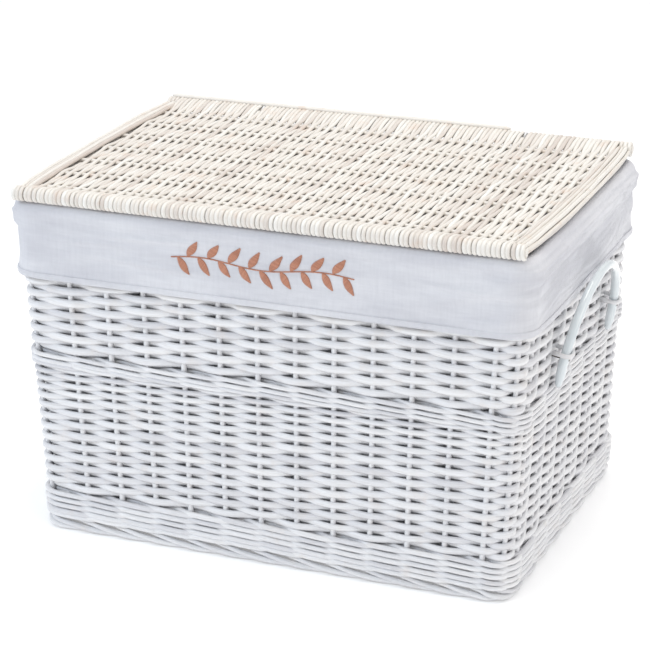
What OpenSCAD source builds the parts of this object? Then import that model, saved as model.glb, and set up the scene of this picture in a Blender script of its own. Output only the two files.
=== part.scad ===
// White wicker storage trunk with a hinged woven lid, a cotton liner and two bow handles.
// Millimetres. Origin at the middle of the footprint, +Z up, front at -Y, right end at +X.

/* [Body] */
// Length over the weave at the floor
foot_length = 576; // [460:2:700]
// Depth over the weave at the floor
foot_depth = 406; // [300:2:500]
// Length over the weave at the top
rim_length = 616; // [500:2:740]
// Depth over the weave at the top
rim_depth = 400; // [310:2:490]
// Height of the woven wall above the floor
wall_height = 380; // [310:1:480]
// Outer radius of the upright corners
corner_radius = 28; // [22:1:45]
// Thickness of the woven wall
wall_thickness = 14; // [12:0.5:18]
// Height of the rolled foot border
foot_height = 15; // [10:1:24]
// How far the foot border sits inside the wall face
foot_inset = 3; // [0:0.5:5]
// Top of the twisted band above the foot
bottom_wale_top = 51; // [40:1:70]
// Bottom of the twisted band around the waist
waist_bottom = 203; // [120:1:230]
// Height of the twisted band around the waist
waist_height = 20; // [12:1:36]
// How far the twisted bands stand out of the wall face
wale_proud = 1; // [0:0.25:2]
// Diameter of the rolled top border
border_d = 16; // [12:0.5:20]

/* [Stakes and base] */
// Diameter of the upright stakes
stake_d = 6; // [4:0.25:8]
// Spacing of the stakes at the top of the wall
stake_pitch = 46.7; // [40:0.1:60]
// Where the row of stakes sits in its slack in the front and back walls, from left to right
stake_bias = 0.75; // [-1:0.02:1]
// Diameter of the long sticks in the base
base_stick_d = 8; // [5:0.5:10]
// Number of long sticks in the base
base_sticks_n = 7; // [4:1:9]
// Thickness of the woven base
base_thickness = 14; // [12:1:20]

/* [Lid] */
// How far the lid stops short of the wall's top at each end
lid_setback = 7; // [-4:0.5:12]
// How far the lid stands out over the wall's top, front and back
lid_overhang = 8; // [6:0.5:14]
// Diameter of the wrapped front and back edges
lid_roll_d = 18; // [15:0.5:24]
// Diameter of the rods inside the wrapped edges
lid_core_d = 10; // [7:0.5:12]
// Thickness of the woven field of the lid
lid_field_thickness = 14; // [12:0.5:16]
// Diameter of the long rods inside the woven field
lid_rod_d = 7; // [5:0.5:9]
// Number of long rods inside the woven field
lid_rods_n = 7; // [4:1:9]
// Diameter of the strands bundled along the two ends
lid_strand_d = 4.6; // [3.5:0.1:5]
// Number of strands side by side in each end bundle
end_strands_n = 3; // [2:1:4]
// Diameter of the spliced rod on the back edge
splice_d = 4; // [3:0.25:5]
// Where the spliced rod ends, as a distance from the middle
splice_end = 150; // [60:5:230]

/* [Hinges] */
// Distance of each hinge loop from the middle
hinge_spread = 170; // [90:5:220]
// Diameter of the cane of the hinge loops
loop_cane_d = 2.8; // [2:0.1:3.2]
// Clearance between a hinge loop and the rod that turns in it
hinge_clearance = 0.3; // [0.2:0.05:0.5]
// Length of the shank that pins each loop into the border
loop_shank = 34; // [28:1:38]

/* [Liner] */
// Thickness of the cotton
cloth = 1.5; // [1:0.1:2]
// Height of the cuff that hangs outside
cuff_height = 87; // [50:1:130]
// Height of the folded hem
hem_height = 6; // [4:0.5:12]
// Extra thickness of the hem and of the embroidery
hem_proud = 0.8; // [0.4:0.1:1.2]
// Air between the cotton and the weave
cloth_gap = 0.8; // [0.5:0.1:2]
// Length of the embroidered sprig
sprig_length = 220; // [120:2:300]
// Height of the embroidered sprig's middle above the hem's lower edge
sprig_height = 45; // [30:1:60]

/* [Handles] */
// Width of the bow between the middles of its legs
bow_width = 190; // [120:2:220]
// Diameter of the bow
bow_d = 10.6; // [8:0.2:14]
// Height of the bow's tips above the floor
bow_foot = 221; // [215:1:236]
// Height of the straight legs, tips included
bow_leg = 16; // [14:1:30]
// Length of the tapered tips
bow_tip = 14; // [8:1:18]
// How far the bow leans out of the wall, in degrees
bow_lean = 8; // [4:0.5:14]
// Diameter of the strand that binds each leg
binding_d = 4.6; // [3:0.2:6]
// Diameter of the nail through each leg
nail_d = 2; // [1.5:0.1:3]
// How far each nail goes into the wall
nail_bite = 6; // [4:0.5:8]

/* [Hidden] */

weave_colour = "#e8ebf0";
lid_colour = "#f2ede3";
cloth_colour = "#dfe3ec";
thread_colour = "#c78a6b";
handle_colour = "#dde4ea";

FRONT = 0;
RIGHT = 1;
BACK = 2;
LEFT = 3;

seam = 0.2;           // gap between neighbouring solids of one woven band
past = 1;             // how far a cutting shape runs on past the piece it cuts
corner_steps = 6;     // facets of a rounded corner
foot_spill = 4;       // how much wider the foot border is than the wall
stick_gap = 2;        // air between the base sticks' ends and the wall
stitch_gap = 0.1;     // air under the hem and the embroidery
base_top = foot_height + base_thickness;
waist_top = waist_bottom + waist_height;
border_z = wall_height + border_d / 2 + seam;
cuff_top = border_z + border_d / 2 + cloth_gap + cloth;
cuff_bottom = cuff_top - cuff_height;
cuff_face = border_d / 2 + cloth_gap + cloth - wall_thickness / 2;
lid_gap = 0.3;        // air between the lid and the cloth on the border
lid_z = cuff_top + lid_gap + lid_roll_d / 2;
lid_length = rim_length - 2 * lid_setback;
lid_depth = rim_depth + 2 * lid_overhang;
roll_y = lid_depth / 2 - lid_roll_d / 2;
field_depth = 2 * roll_y - lid_roll_d - 2 * seam;
end_inset = 1;        // how far the long rods and the end strands stop short of the lid's ends
wrap_inset = 2;       // how far the wrapping stops short of the lid's ends
end_width = end_strands_n * (lid_strand_d + seam) + seam;
field_length = lid_length - 2 * (end_inset + end_width + seam);
loop_r = lid_core_d / 2 + hinge_clearance + loop_cane_d / 2;
loop_room = 2;        // bare rod on each side of a hinge loop
shank_room = 1;       // how much wider the holes in the cloth are than the shanks
splice_bed = 0.1;     // how deep the spliced rod lies in the wrapping
splice_inset = 4;     // how far the spliced rod starts from the lid's left end
splice_reach = lid_roll_d / 2 - splice_bed + splice_d / 2;
splice_angle = 70;    // where the spliced rod lies on the back edge, from level towards the top
tiny = 0.02;
$fn = 64;

// Half length and half depth of the woven wall's outer face at a height, and the wall's place on a side
function half_x(z) = (foot_length + (rim_length - foot_length) * z / wall_height) / 2;
function half_y(z) = (foot_depth + (rim_depth - foot_depth) * z / wall_height) / 2;
function along(side, z) = side % 2 == 0 ? half_x(z) : half_y(z);
function out(side, z) = side % 2 == 0 ? half_y(z) : half_x(z);
function mid(side, z) = out(side, z) - wall_thickness / 2;
function lean(side) = atan((out(side, wall_height) - out(side, 0)) / wall_height);

// Half the straight stretch of a wall that its stakes stand in, to the middle of the last one
function straight(side, z) = along(side, z) - corner_radius - stake_d / 2;

// Rounded rectangle around the body at height z, grown by g from the wall's outer face, upright above the wall
function ring(z, g) = [
    for (q = [0:3])
        for (i = [0:corner_steps])
            let (h = min(z, wall_height))
            let (a = 90 * q + 90 * i / corner_steps)
            let (sx = (q == 0 || q == 3) ? 1 : -1)
            let (sy = q < 2 ? 1 : -1)
            let (r = max(corner_radius + g, 2))
            [sx * (half_x(h) + g - r) + r * cos(a), sy * (half_y(h) + g - r) + r * sin(a), z]];

// A tube of rings: profile is a closed list of [height, growth], anticlockwise with growth to the right
module swept_band(profile) {
    n = 4 * (corner_steps + 1);
    m = len(profile);
    points = [for (p = profile) each ring(p[0], p[1])];
    faces = [
        for (k = [0:m - 1])
            for (i = [0:n - 1])
                let (a = k * n + i)
                let (b = k * n + (i + 1) % n)
                let (c = ((k + 1) % m) * n + (i + 1) % n)
                let (d = ((k + 1) % m) * n + i)
                each [[a, d, c], [a, c, b]]];
    polyhedron(points = points, faces = faces);
}

// A filled block between two rings
module swept_block(z0, g0, z1, g1) {
    n = 4 * (corner_steps + 1);
    points = concat(ring(z0, g0), ring(z1, g1));
    sides = [for (i = [0:n - 1]) [i, n + i, n + (i + 1) % n, (i + 1) % n]];
    bottom = [for (i = [0:n - 1]) i];
    top = [for (i = [0:n - 1]) 2 * n - 1 - i];
    polyhedron(points = points, faces = concat(sides, [bottom, top]));
}

// Turns a piece drawn for the front wall onto another side
module on_side(side) {
    rotate([0, 0, 90 * side]) children();
}

// Straight stretch of a woven band on one wall: its front view and its section, cut into each other
module wall_plate(side, z0, z1, grow) {
    a0 = along(side, z0) - corner_radius - seam / 2;
    a1 = along(side, z1) - corner_radius - seam / 2;
    y0 = -out(side, z0);
    y1 = -out(side, z1);
    t = wall_thickness;
    reach = 2 * (rim_length + rim_depth);
    on_side(side)
        intersection() {
            rotate([90, 0, 0])
                linear_extrude(reach, center = true)
                    polygon([[-a0, z0], [a0, z0], [a1, z1], [-a1, z1]]);
            rotate([90, 0, 90])
                linear_extrude(reach, center = true)
                    polygon([[y0 - grow, z0], [y0 + t, z0], [y1 + t, z1], [y1 - grow, z1]]);
        }
}

// Rounded corner of a woven band, at the right-hand end of one wall
module corner_plate(side, z0, z1, grow) {
    n = corner_steps + 1;
    r_out = corner_radius + grow;
    r_in = corner_radius - wall_thickness;
    function arc(z, r) = [
        for (i = [0:corner_steps])
            let (a = -90 + 90 * i / corner_steps)
            [along(side, z) - corner_radius + r * cos(a), -out(side, z) + corner_radius + r * sin(a), z]];
    function back_arc(z) = [for (i = [corner_steps:-1:0]) arc(z, r_in)[i]];
    points = concat(arc(z0, r_out), back_arc(z0), arc(z1, r_out), back_arc(z1));
    m = 2 * n;
    sides = [for (i = [0:m - 1]) [i, m + i, m + (i + 1) % m, (i + 1) % m]];
    bottom = [for (i = [0:m - 1]) i];
    top = [for (i = [0:m - 1]) 2 * m - 1 - i];
    on_side(side) polyhedron(points = points, faces = concat(sides, [bottom, top]));
}

// A round rod from one point to another, leant over without a twist about its own axis
module rod(p, q, d) {
    v = q - p;
    length = norm(v);
    heading = atan2(v[1], v[0]);
    translate(p)
        rotate([0, acos(v[2] / length), heading])
            rotate([0, 0, -heading])
                cylinder(h = length, d = d);
}

// Places of the stakes along a wall, at the top of the wall
function stake_row(side) =
    let (room = 2 * straight(side, wall_height))
    let (n = floor(room / stake_pitch))
    let (slack = (room - n * stake_pitch) / 2)
    let (shift = side == FRONT ? stake_bias * slack : side == BACK ? -stake_bias * slack : 0)
    [for (i = [0:n]) shift + (i - n / 2) * stake_pitch];

// Stakes of one wall between two heights
module stakes(side, z0 = foot_height, z1 = wall_height) {
    on_side(side)
        for (s = stake_row(side))
            rod([s * straight(side, z0) / straight(side, wall_height), -mid(side, z0), z0],
                [s * straight(side, z1) / straight(side, wall_height), -mid(side, z1), z1], stake_d);
}

// The stake in the middle of the corner at the right-hand end of one wall
module corner_post(side, z0 = foot_height, z1 = wall_height) {
    r = (corner_radius - wall_thickness / 2) * sqrt(0.5);
    function place(z) = [along(side, z) - corner_radius + r, -out(side, z) + corner_radius - r, z];
    on_side(side) rod(place(z0), place(z1), stake_d);
}

module corner_posts() {
    color(weave_colour)
        for (side = [FRONT, RIGHT, BACK, LEFT])
            corner_post(side);
}

// One woven band on one side: a straight stretch around its stakes, and the corner at its right-hand end
module woven_band(side, z0, z1, grow = 0) {
    difference() {
        wall_plate(side, z0, z1, grow);
        stakes(side, z0 - past, z1 + past);
        if (z1 > bow_foot && side % 2 == 1) nails();
        if (z1 == wall_height && side == BACK) hinge_shanks();
    }
    difference() {
        corner_plate(side, z0, z1, grow);
        corner_post(side, z0 - past, z1 + past);
    }
}

module foot_border() {
    color(weave_colour)
        for (side = [FRONT, RIGHT, BACK, LEFT])
            on_side(side) {
                half = along(side, 0) - corner_radius - seam / 2;
                width = wall_thickness + foot_spill;
                translate([-half, -out(side, 0) + foot_inset, 0])
                    cube([2 * half, width, foot_height - tiny]);
                translate([along(side, 0) - corner_radius, -out(side, 0) + corner_radius, 0])
                    rotate([0, 0, -90])
                        rotate_extrude(angle = 90)
                            translate([corner_radius - foot_inset - width, 0])
                                square([width, foot_height - tiny]);
            }
}

module base_sticks(extra = 0) {
    length = half_x(foot_height) - wall_thickness - stick_gap;
    pitch = (2 * half_y(foot_height) - 2 * wall_thickness) / (base_sticks_n + 1);
    color(weave_colour)
        for (i = [1:base_sticks_n])
            let (y = -half_y(foot_height) + wall_thickness + i * pitch)
            rod([-length - extra, y, foot_height + base_thickness / 2],
                [length + extra, y, foot_height + base_thickness / 2], base_stick_d);
}

module base_weave() {
    color(weave_colour)
        difference() {
            swept_block(foot_height, -wall_thickness - seam, base_top, -wall_thickness - seam);
            base_sticks(stick_gap + past);
        }
}

module bottom_wale() {
    color(weave_colour)
        for (side = [FRONT, RIGHT, BACK, LEFT])
            woven_band(side, foot_height, bottom_wale_top - tiny, wale_proud);
}

module lower_weave(side) {
    color(weave_colour) woven_band(side, bottom_wale_top, waist_bottom - tiny);
}

module waist_wale(side) {
    color(weave_colour) woven_band(side, waist_bottom, waist_top - tiny, wale_proud);
}

module upper_weave(side) {
    color(weave_colour) woven_band(side, waist_top, wall_height);
}

// Rolled border over one wall, with the corner at its right-hand end
module border(side) {
    half = along(side, wall_height) - corner_radius;
    y = -mid(side, wall_height);
    bend = corner_radius - wall_thickness / 2;
    color(weave_colour)
        difference() {
            on_side(side) {
                rod([-half + seam / 2, y, border_z], [half - seam / 2, y, border_z], border_d);
                translate([half, y + bend, border_z])
                    rotate([0, 0, -90])
                        rotate_extrude(angle = 90)
                            translate([bend, 0]) circle(d = border_d);
            }
            if (side == BACK) hinge_shanks();
        }
}

// Pieces drawn for the right-hand wall, with x measured outwards from its face at height bow_foot
module on_wall(side) {
    on_side(side - 1)
        translate([half_x(bow_foot), 0, bow_foot])
            rotate([0, lean(RIGHT) + bow_lean, 0]) children();
}

bow_r = bow_width / 2;
bow_gap = 0.7;                   // air between the bow's tips and the wall face
bow_out = bow_d / 2 + bow_gap;
tip_taper = 0.55;                // share of the bow's diameter that is left at its tips
nail_rise = 18;                  // height of the nails above the straight legs
nail_head = 0.6;                 // how far the nails stand out of the bow
binding_rise = 25;               // height of the bindings above the straight legs
binding_r = bow_d / 2 + binding_d / 2 + seam;

// How far the bow has bent inwards at a height above its straight legs, and how far the wall has leant away there
function bow_lag(rise) = bow_r - sqrt(bow_r * bow_r - rise * rise);
function wall_gap(rise) = (bow_leg + rise) * tan(bow_lean);

module bow(side) {
    color(handle_colour)
        difference() {
            on_wall(side)
                translate([bow_out, 0, 0]) {
                    for (s = [-1, 1])
                        translate([0, s * bow_r, 0]) {
                            cylinder(h = bow_tip, d1 = bow_d * tip_taper, d2 = bow_d);
                            translate([0, 0, bow_tip]) cylinder(h = bow_leg - bow_tip, d = bow_d);
                        }
                    translate([0, 0, bow_leg])
                        rotate([90, 0, 90])
                            rotate_extrude(angle = 180)
                                translate([bow_r, 0]) circle(d = bow_d);
                }
            nails();
        }
}

// Strand that passes over each leg and goes back into the wall on both sides of it
module bindings(side) {
    color(weave_colour)
        on_wall(side)
            for (s = [-1, 1])
                translate([bow_out, s * (bow_r - bow_lag(binding_rise)), bow_leg + binding_rise])
                    rotate([0, 0, -90]) {
                        rotate_extrude(angle = 180)
                            translate([binding_r, 0]) circle(d = binding_d);
                        for (t = [-1, 1])
                            translate([t * binding_r, 0, 0])
                                rotate([90, 0, 0])
                                    cylinder(h = bow_out + wall_gap(binding_rise - binding_d / 2) - seam, d = binding_d);
                    }
}

// One nail through each leg, just below its binding
module nails() {
    color("#6d6a66")
        for (side = [RIGHT, LEFT])
            on_wall(side)
                for (s = [-1, 1])
                    translate([bow_out + bow_d / 2 + nail_head, s * (bow_r - bow_lag(nail_rise)), bow_leg + nail_rise])
                        rotate([0, -90, 0])
                            cylinder(h = nail_head + bow_d / 2 + bow_out + wall_gap(nail_rise) + nail_bite, d = nail_d);
}

module handle_nails() {
    nails();
}

module liner_bag() {
    z0 = base_top + seam;
    z1 = wall_height;
    g = -wall_thickness - cloth_gap;
    color(cloth_colour)
        difference() {
            swept_block(z0, g, z1, g);
            swept_block(z0 + cloth, g - cloth, z1 + past, g - cloth);
        }
}

// Cloth over the border and down the outside, as one strip around the body
module liner_cuff() {
    roll = -wall_thickness / 2;             // growth of the border's middle
    r_in = border_d / 2 + cloth_gap;
    r_out = r_in + cloth;
    g_in = roll + r_in;
    g_out = roll + r_out;
    arc_steps = 6;
    outer = [for (i = [0:arc_steps]) let (a = 180 * i / arc_steps)
        [border_z + r_out * sin(a), roll + r_out * cos(a)]];
    inner = [for (i = [arc_steps:-1:0]) let (a = 180 * i / arc_steps)
        [border_z + r_in * sin(a), roll + r_in * cos(a)]];
    profile = concat([[cuff_bottom, g_in], [cuff_bottom, g_out]], outer,
        [[wall_height + seam, roll - r_out], [wall_height + seam, roll - r_in]], inner);
    color(cloth_colour)
        difference() {
            swept_band(profile);
            hinge_shanks(shank_room);
        }
}

// Folded hem on the lower edge of the cuff
module cuff_hem() {
    g = cuff_face + stitch_gap;
    color(cloth_colour)
        swept_band([[cuff_bottom, g], [cuff_bottom, g + hem_proud],
            [cuff_bottom + hem_height, g + hem_proud], [cuff_bottom + hem_height, g]]);
}

leaves_n = 8;         // pairs of leaves beyond the first
leaf_length = 22;
leaf_width = 8;
leaf_lean = 50;       // angle between a leaf and the stem
leaf_offset = 2;      // distance of a leaf's foot from the stem's middle
stem_width = 1.6;
stem_share = 0.8;     // share of the stem that shows between stitches

// A leaf: the common part of two discs, pointing along +X
module leaf(length, width) {
    r = (length * length + width * width) / (4 * width);
    translate([length / 2, 0])
        intersection() {
            translate([0, r - width / 2]) circle(r = r);
            translate([0, width / 2 - r]) circle(r = r);
        }
}

// Embroidered sprig on the front of the cuff: a stem of short stitches with leaves on both sides
module embroidery() {
    g = cuff_face + stitch_gap;
    z = cuff_bottom + sprig_height;
    pitch = sprig_length / (leaves_n + 1);
    color(thread_colour)
        translate([0, -half_y(z) - g, z])
            rotate([90 + lean(FRONT), 0, 0])
                linear_extrude(hem_proud)
                    for (i = [0:leaves_n])
                        translate([(i - leaves_n / 2) * pitch, 0]) {
                            square([pitch * stem_share, stem_width], center = true);
                            for (s = [-1, 1])
                                translate([0, s * leaf_offset])
                                    rotate([0, 0, s * leaf_lean]) leaf(leaf_length, leaf_width);
                        }
}

// Line from the lid's back rod into the border below it
hinge_top = [0, roll_y, lid_z];
hinge_dir = [0, mid(BACK, wall_height) - roll_y, border_z - lid_z];
hinge_unit = hinge_dir / norm(hinge_dir);

module hinge_shanks(extra = 0) {
    for (s = [-1, 1])
        translate([s * hinge_spread, 0, 0])
            rod(hinge_top + hinge_unit * (loop_r + extra), hinge_top + hinge_unit * (loop_shank + extra),
                loop_cane_d + extra);
}

// Cane loop around the lid's back rod, with its shank pinned into the border
module hinge_loop(s) {
    color(weave_colour)
        translate([s * hinge_spread, 0, 0]) {
            translate(hinge_top)
                rotate([0, 90, 0])
                    rotate_extrude()
                        translate([loop_r, 0]) circle(d = loop_cane_d);
            rod(hinge_top + hinge_unit * loop_r, hinge_top + hinge_unit * loop_shank, loop_cane_d);
        }
}

module lid_core(side) {
    y = side == BACK ? roll_y : -roll_y;
    color(lid_colour) rod([-lid_length / 2, y, lid_z], [lid_length / 2, y, lid_z], lid_core_d);
}

// Strand ends wound around a core rod, with a gap at each hinge loop
module lid_wrapping(side) {
    y = side == BACK ? roll_y : -roll_y;
    gap = loop_cane_d + 2 * loop_room;
    end = lid_length / 2 - wrap_inset;
    spans = side == BACK
        ? [[-end, -hinge_spread - gap / 2], [-hinge_spread + gap / 2, hinge_spread - gap / 2],
            [hinge_spread + gap / 2, end]]
        : [[-end, end]];
    color(lid_colour)
        difference() {
            for (span = spans)
                rod([span[0], y, lid_z], [span[1], y, lid_z], lid_roll_d);
            rod([-lid_length, y, lid_z], [lid_length, y, lid_z], lid_core_d);
            if (side == BACK) splice(past);
        }
}

module splice(extra = 0) {
    y = roll_y + splice_reach * cos(splice_angle);
    z = lid_z + splice_reach * sin(splice_angle);
    rod([-lid_length / 2 + splice_inset - extra, y, z], [splice_end + extra, y, z], splice_d);
}

module lid_splice_rod() {
    color(lid_colour) splice();
}

// The long rods lie in equal steps, and the strips outside the first and the last are a little narrower than a step
lid_rod_edges = 0.65;

module lid_long_rods(extra = 0) {
    pitch = field_depth / (lid_rods_n + lid_rod_edges);
    end = lid_length / 2 - end_inset + extra;
    color(lid_colour)
        for (i = [1:lid_rods_n])
            let (y = (i - (lid_rods_n + 1) / 2) * pitch)
            rod([-end, y, lid_z], [end, y, lid_z], lid_rod_d);
}

module lid_weave() {
    color(lid_colour)
        difference() {
            translate([-field_length / 2, -field_depth / 2, lid_z - lid_field_thickness / 2])
                cube([field_length, field_depth, lid_field_thickness]);
            lid_long_rods(past);
        }
}

// Strands that close one end of the lid, above and below its long rods
module lid_end(s) {
    rise = (lid_rod_d + lid_strand_d + seam) / 2;
    color(lid_colour)
        for (i = [0:end_strands_n - 1])
            for (v = [-1, 1])
                let (x = s * (lid_length / 2 - end_inset - lid_strand_d / 2 - i * (lid_strand_d + seam)))
                rod([x, -field_depth / 2, lid_z + v * rise], [x, field_depth / 2, lid_z + v * rise], lid_strand_d);
}

foot_border();
base_weave();
base_sticks();
bottom_wale();
lower_weave(FRONT);  // front_lower_weave
lower_weave(RIGHT);  // right_lower_weave
lower_weave(BACK);  // back_lower_weave
lower_weave(LEFT);  // left_lower_weave
waist_wale(FRONT);  // front_waist_wale
waist_wale(RIGHT);  // right_waist_wale
waist_wale(BACK);  // back_waist_wale
waist_wale(LEFT);  // left_waist_wale
upper_weave(FRONT);  // front_upper_weave
upper_weave(RIGHT);  // right_upper_weave
upper_weave(BACK);  // back_upper_weave
upper_weave(LEFT);  // left_upper_weave
border(FRONT);  // front_border
border(RIGHT);  // right_border
border(BACK);  // back_border
border(LEFT);  // left_border
color(weave_colour) stakes(FRONT);  // front_stakes
color(weave_colour) stakes(RIGHT);  // right_stakes
color(weave_colour) stakes(BACK);  // back_stakes
color(weave_colour) stakes(LEFT);  // left_stakes
corner_posts();
bow(RIGHT);  // right_handle
bow(LEFT);  // left_handle
bindings(RIGHT);  // right_handle_bindings
bindings(LEFT);  // left_handle_bindings
handle_nails();
liner_bag();
liner_cuff();
cuff_hem();
embroidery();
hinge_loop(-1);  // left_hinge_loop
hinge_loop(1);  // right_hinge_loop
lid_core(FRONT);  // lid_front_rod
lid_core(BACK);  // lid_back_rod
lid_wrapping(FRONT);  // lid_front_wrapping
lid_wrapping(BACK);  // lid_back_wrapping
lid_splice_rod();
lid_long_rods();
lid_weave();
lid_end(1);  // lid_right_end
lid_end(-1);  // lid_left_end
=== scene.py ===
import math

import bpy
import numpy as np
from mathutils import Matrix, Vector


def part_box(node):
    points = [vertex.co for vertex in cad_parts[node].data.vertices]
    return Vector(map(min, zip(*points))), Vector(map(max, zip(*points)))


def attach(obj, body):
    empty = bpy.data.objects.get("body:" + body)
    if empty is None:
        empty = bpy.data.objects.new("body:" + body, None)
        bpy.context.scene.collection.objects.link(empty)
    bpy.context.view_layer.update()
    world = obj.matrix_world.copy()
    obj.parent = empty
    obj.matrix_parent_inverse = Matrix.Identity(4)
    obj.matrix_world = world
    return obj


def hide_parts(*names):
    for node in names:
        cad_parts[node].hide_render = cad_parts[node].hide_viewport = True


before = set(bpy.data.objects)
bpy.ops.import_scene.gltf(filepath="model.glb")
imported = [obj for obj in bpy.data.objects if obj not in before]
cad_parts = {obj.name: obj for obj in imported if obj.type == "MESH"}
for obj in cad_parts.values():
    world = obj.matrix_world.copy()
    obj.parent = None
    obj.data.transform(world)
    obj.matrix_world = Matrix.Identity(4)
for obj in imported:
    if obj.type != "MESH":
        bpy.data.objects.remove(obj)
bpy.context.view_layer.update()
rng = np.random.default_rng(7)

# ---------------------------------------------------------------- sizes, in millimetres as in the CAD model
MM = 0.001
CORNER = 28.0            # outer radius of the upright corners
WALL = 14.0              # thickness of the woven wall
MID_R = CORNER - WALL / 2
FOOT_INSET = 3.0         # how far the foot border sits inside the wall's face
PITCH = 46.7             # stakes at the top of the wall
STAKE_BIAS = 0.75        # how far off centre the long walls' stakes sit, as a share of the room at each end
STAKE_D = 6.0
BORDER_D = 16.0          # rolled border on top of the wall
LID_ROLL_D = 18.0        # wrapped rolls along the lid's front and back
LID_CORE_D = 10.0        # rod inside each roll
HINGE_X = 170.0          # hinge loops, from the middle
SIDES = ("front", "right", "back", "left")
UP = (0, 0, 1)


def low(node):
    return np.array(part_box(node)[0]) / MM


def high(node):
    return np.array(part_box(node)[1]) / MM


WALL_TOP = high("front_upper_weave")[2]
FOOT_TOP = high("foot_border")[2]
WALE_TOP = high("bottom_wale")[2]
WAIST_0, WAIST_1 = low("front_waist_wale")[2], high("front_waist_wale")[2]
RIM_X, RIM_Y = high("right_upper_weave")[0], -low("front_upper_weave")[1]
FOOT_X, FOOT_Y = high("foot_border")[0] + FOOT_INSET, high("foot_border")[1] + FOOT_INSET
CUFF_0 = low("liner_cuff")[2]
LID_Z = (low("lid_front_rod")[2] + high("lid_front_rod")[2]) / 2
ROLL_Y = (low("lid_back_rod")[1] + high("lid_back_rod")[1]) / 2
LID_END = high("lid_back_rod")[0]
FIELD_X = high("lid_weave")[0]
FIELD_Y = high("lid_weave")[1]


# ---------------------------------------------------------------- the wall's own coordinates
def half_x(z):
    return FOOT_X + (RIM_X - FOOT_X) * np.minimum(z, WALL_TOP) / WALL_TOP


def half_y(z):
    return FOOT_Y + (RIM_Y - FOOT_Y) * np.minimum(z, WALL_TOP) / WALL_TOP


SLOPE_X, SLOPE_Y = (RIM_X - FOOT_X) / WALL_TOP, (RIM_Y - FOOT_Y) / WALL_TOP


def wall(q, z, depth=0.0):
    """Points and outward directions at a depth outside the wall's middle surface.

    Even q start a straight wall, from the front anticlockwise, and odd q a corner."""
    q, z, depth = np.broadcast_arrays(*(np.asarray(v, float) for v in (q, z, depth)))
    q = np.mod(q, 8.0)
    seg = np.floor(q).astype(int)
    f = q - seg
    side = seg // 2
    straight = seg % 2 == 0
    a, b = half_x(z) - CORNER, half_y(z) - CORNER
    along, out = np.where(side % 2 == 0, a, b), np.where(side % 2 == 0, b, a)
    angle = np.where(straight, -np.pi / 2, -np.pi / 2 + f * np.pi / 2)
    x = np.where(straight, along * (2 * f - 1), along) + (MID_R + depth) * np.cos(angle)
    y = -out + (MID_R + depth) * np.sin(angle)
    turn = side * np.pi / 2
    c, s = np.cos(turn), np.sin(turn)
    p = np.stack([c * x - s * y, s * x + c * y, z], -1)
    nx, ny = np.cos(angle), np.sin(angle)
    n = np.stack([c * nx - s * ny, s * nx + c * ny, np.zeros_like(nx)], -1)
    n[..., 2] = -(abs(n[..., 0]) * SLOPE_X + abs(n[..., 1]) * SLOPE_Y)
    return p, n / np.linalg.norm(n, axis=-1, keepdims=True)


SIDE_RUNS = [2 * (RIM_X - CORNER), MID_R * np.pi / 2, 2 * (RIM_Y - CORNER), MID_R * np.pi / 2]
ARC = np.concatenate([[0], np.cumsum(SIDE_RUNS * 2)])      # distance round the rim at each whole q
ROUND = ARC[-1]


def arc_to_q(s):
    return np.interp(np.mod(s, ROUND), ARC, np.arange(9)) + 8 * np.floor(np.asarray(s) / ROUND)


def q_to_arc(q):
    return np.interp(np.mod(q, 8), np.arange(9), ARC) + ROUND * np.floor(np.asarray(q) / 8)


def stake_places():
    """Each upright round the body as q: the stakes of every wall and one post in each corner."""
    places = []
    for side in range(4):
        along = RIM_X if side % 2 == 0 else RIM_Y
        room = 2 * (along - CORNER - STAKE_D / 2)
        n = math.floor(room / PITCH)
        slack = (room - n * PITCH) / 2
        shift = {0: STAKE_BIAS * slack, 2: -STAKE_BIAS * slack}.get(side, 0)
        for i in range(n + 1):
            places.append(2 * side + ((shift + (i - n / 2) * PITCH) / (along - CORNER) + 1) / 2)
        places.append(2 * side + 1.5)
    return np.array(places)


STAKES = stake_places()
N = len(STAKES)
STAKE_ARCS = q_to_arc(STAKES)
STAKE_ARCS = np.concatenate([[STAKE_ARCS[-1] - ROUND], STAKE_ARCS, [STAKE_ARCS[0] + ROUND]])


def u_to_q(u):
    """Stake number, whole at each upright and running on between them, as q."""
    u = np.asarray(u, float)
    return arc_to_q(np.interp(np.mod(u, N), np.arange(-1, N + 1), STAKE_ARCS) + ROUND * np.floor(u / N))


# ---------------------------------------------------------------- mesh building
def make_mesh(name, verts, faces_by_size, smooth, tint=None, grain=None):
    """One mesh object: verts in millimetres, and an array of faces for each number of corners."""
    mesh = bpy.data.meshes.new(name)
    loops = np.concatenate([f.ravel() for f in faces_by_size]).astype(np.int32)
    sizes = np.concatenate([np.full(len(f), f.shape[1], np.int32) for f in faces_by_size])
    starts = np.concatenate([[0], np.cumsum(sizes)[:-1]]).astype(np.int32)
    mesh.vertices.add(len(verts))
    mesh.vertices.foreach_set("co", (verts * MM).astype(np.float32).ravel())
    mesh.loops.add(len(loops))
    mesh.loops.foreach_set("vertex_index", loops)
    mesh.polygons.add(len(sizes))
    mesh.polygons.foreach_set("loop_start", starts)
    mesh.polygons.foreach_set("use_smooth", np.asarray(smooth, bool))
    if tint is not None:
        mesh.attributes.new("tint", "FLOAT", "POINT").data.foreach_set("value", tint.astype(np.float32))
    if grain is not None:
        mesh.attributes.new("grain", "FLOAT_VECTOR", "POINT").data.foreach_set(
            "vector", (grain * MM).astype(np.float32).ravel())
    mesh.update(calc_edges=True)
    mesh.validate()
    obj = bpy.data.objects.new(name, mesh)
    bpy.context.scene.collection.objects.link(obj)
    return obj


GRAIN_R = 3              # radius at which a strand's section is laid out for its grain


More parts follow.
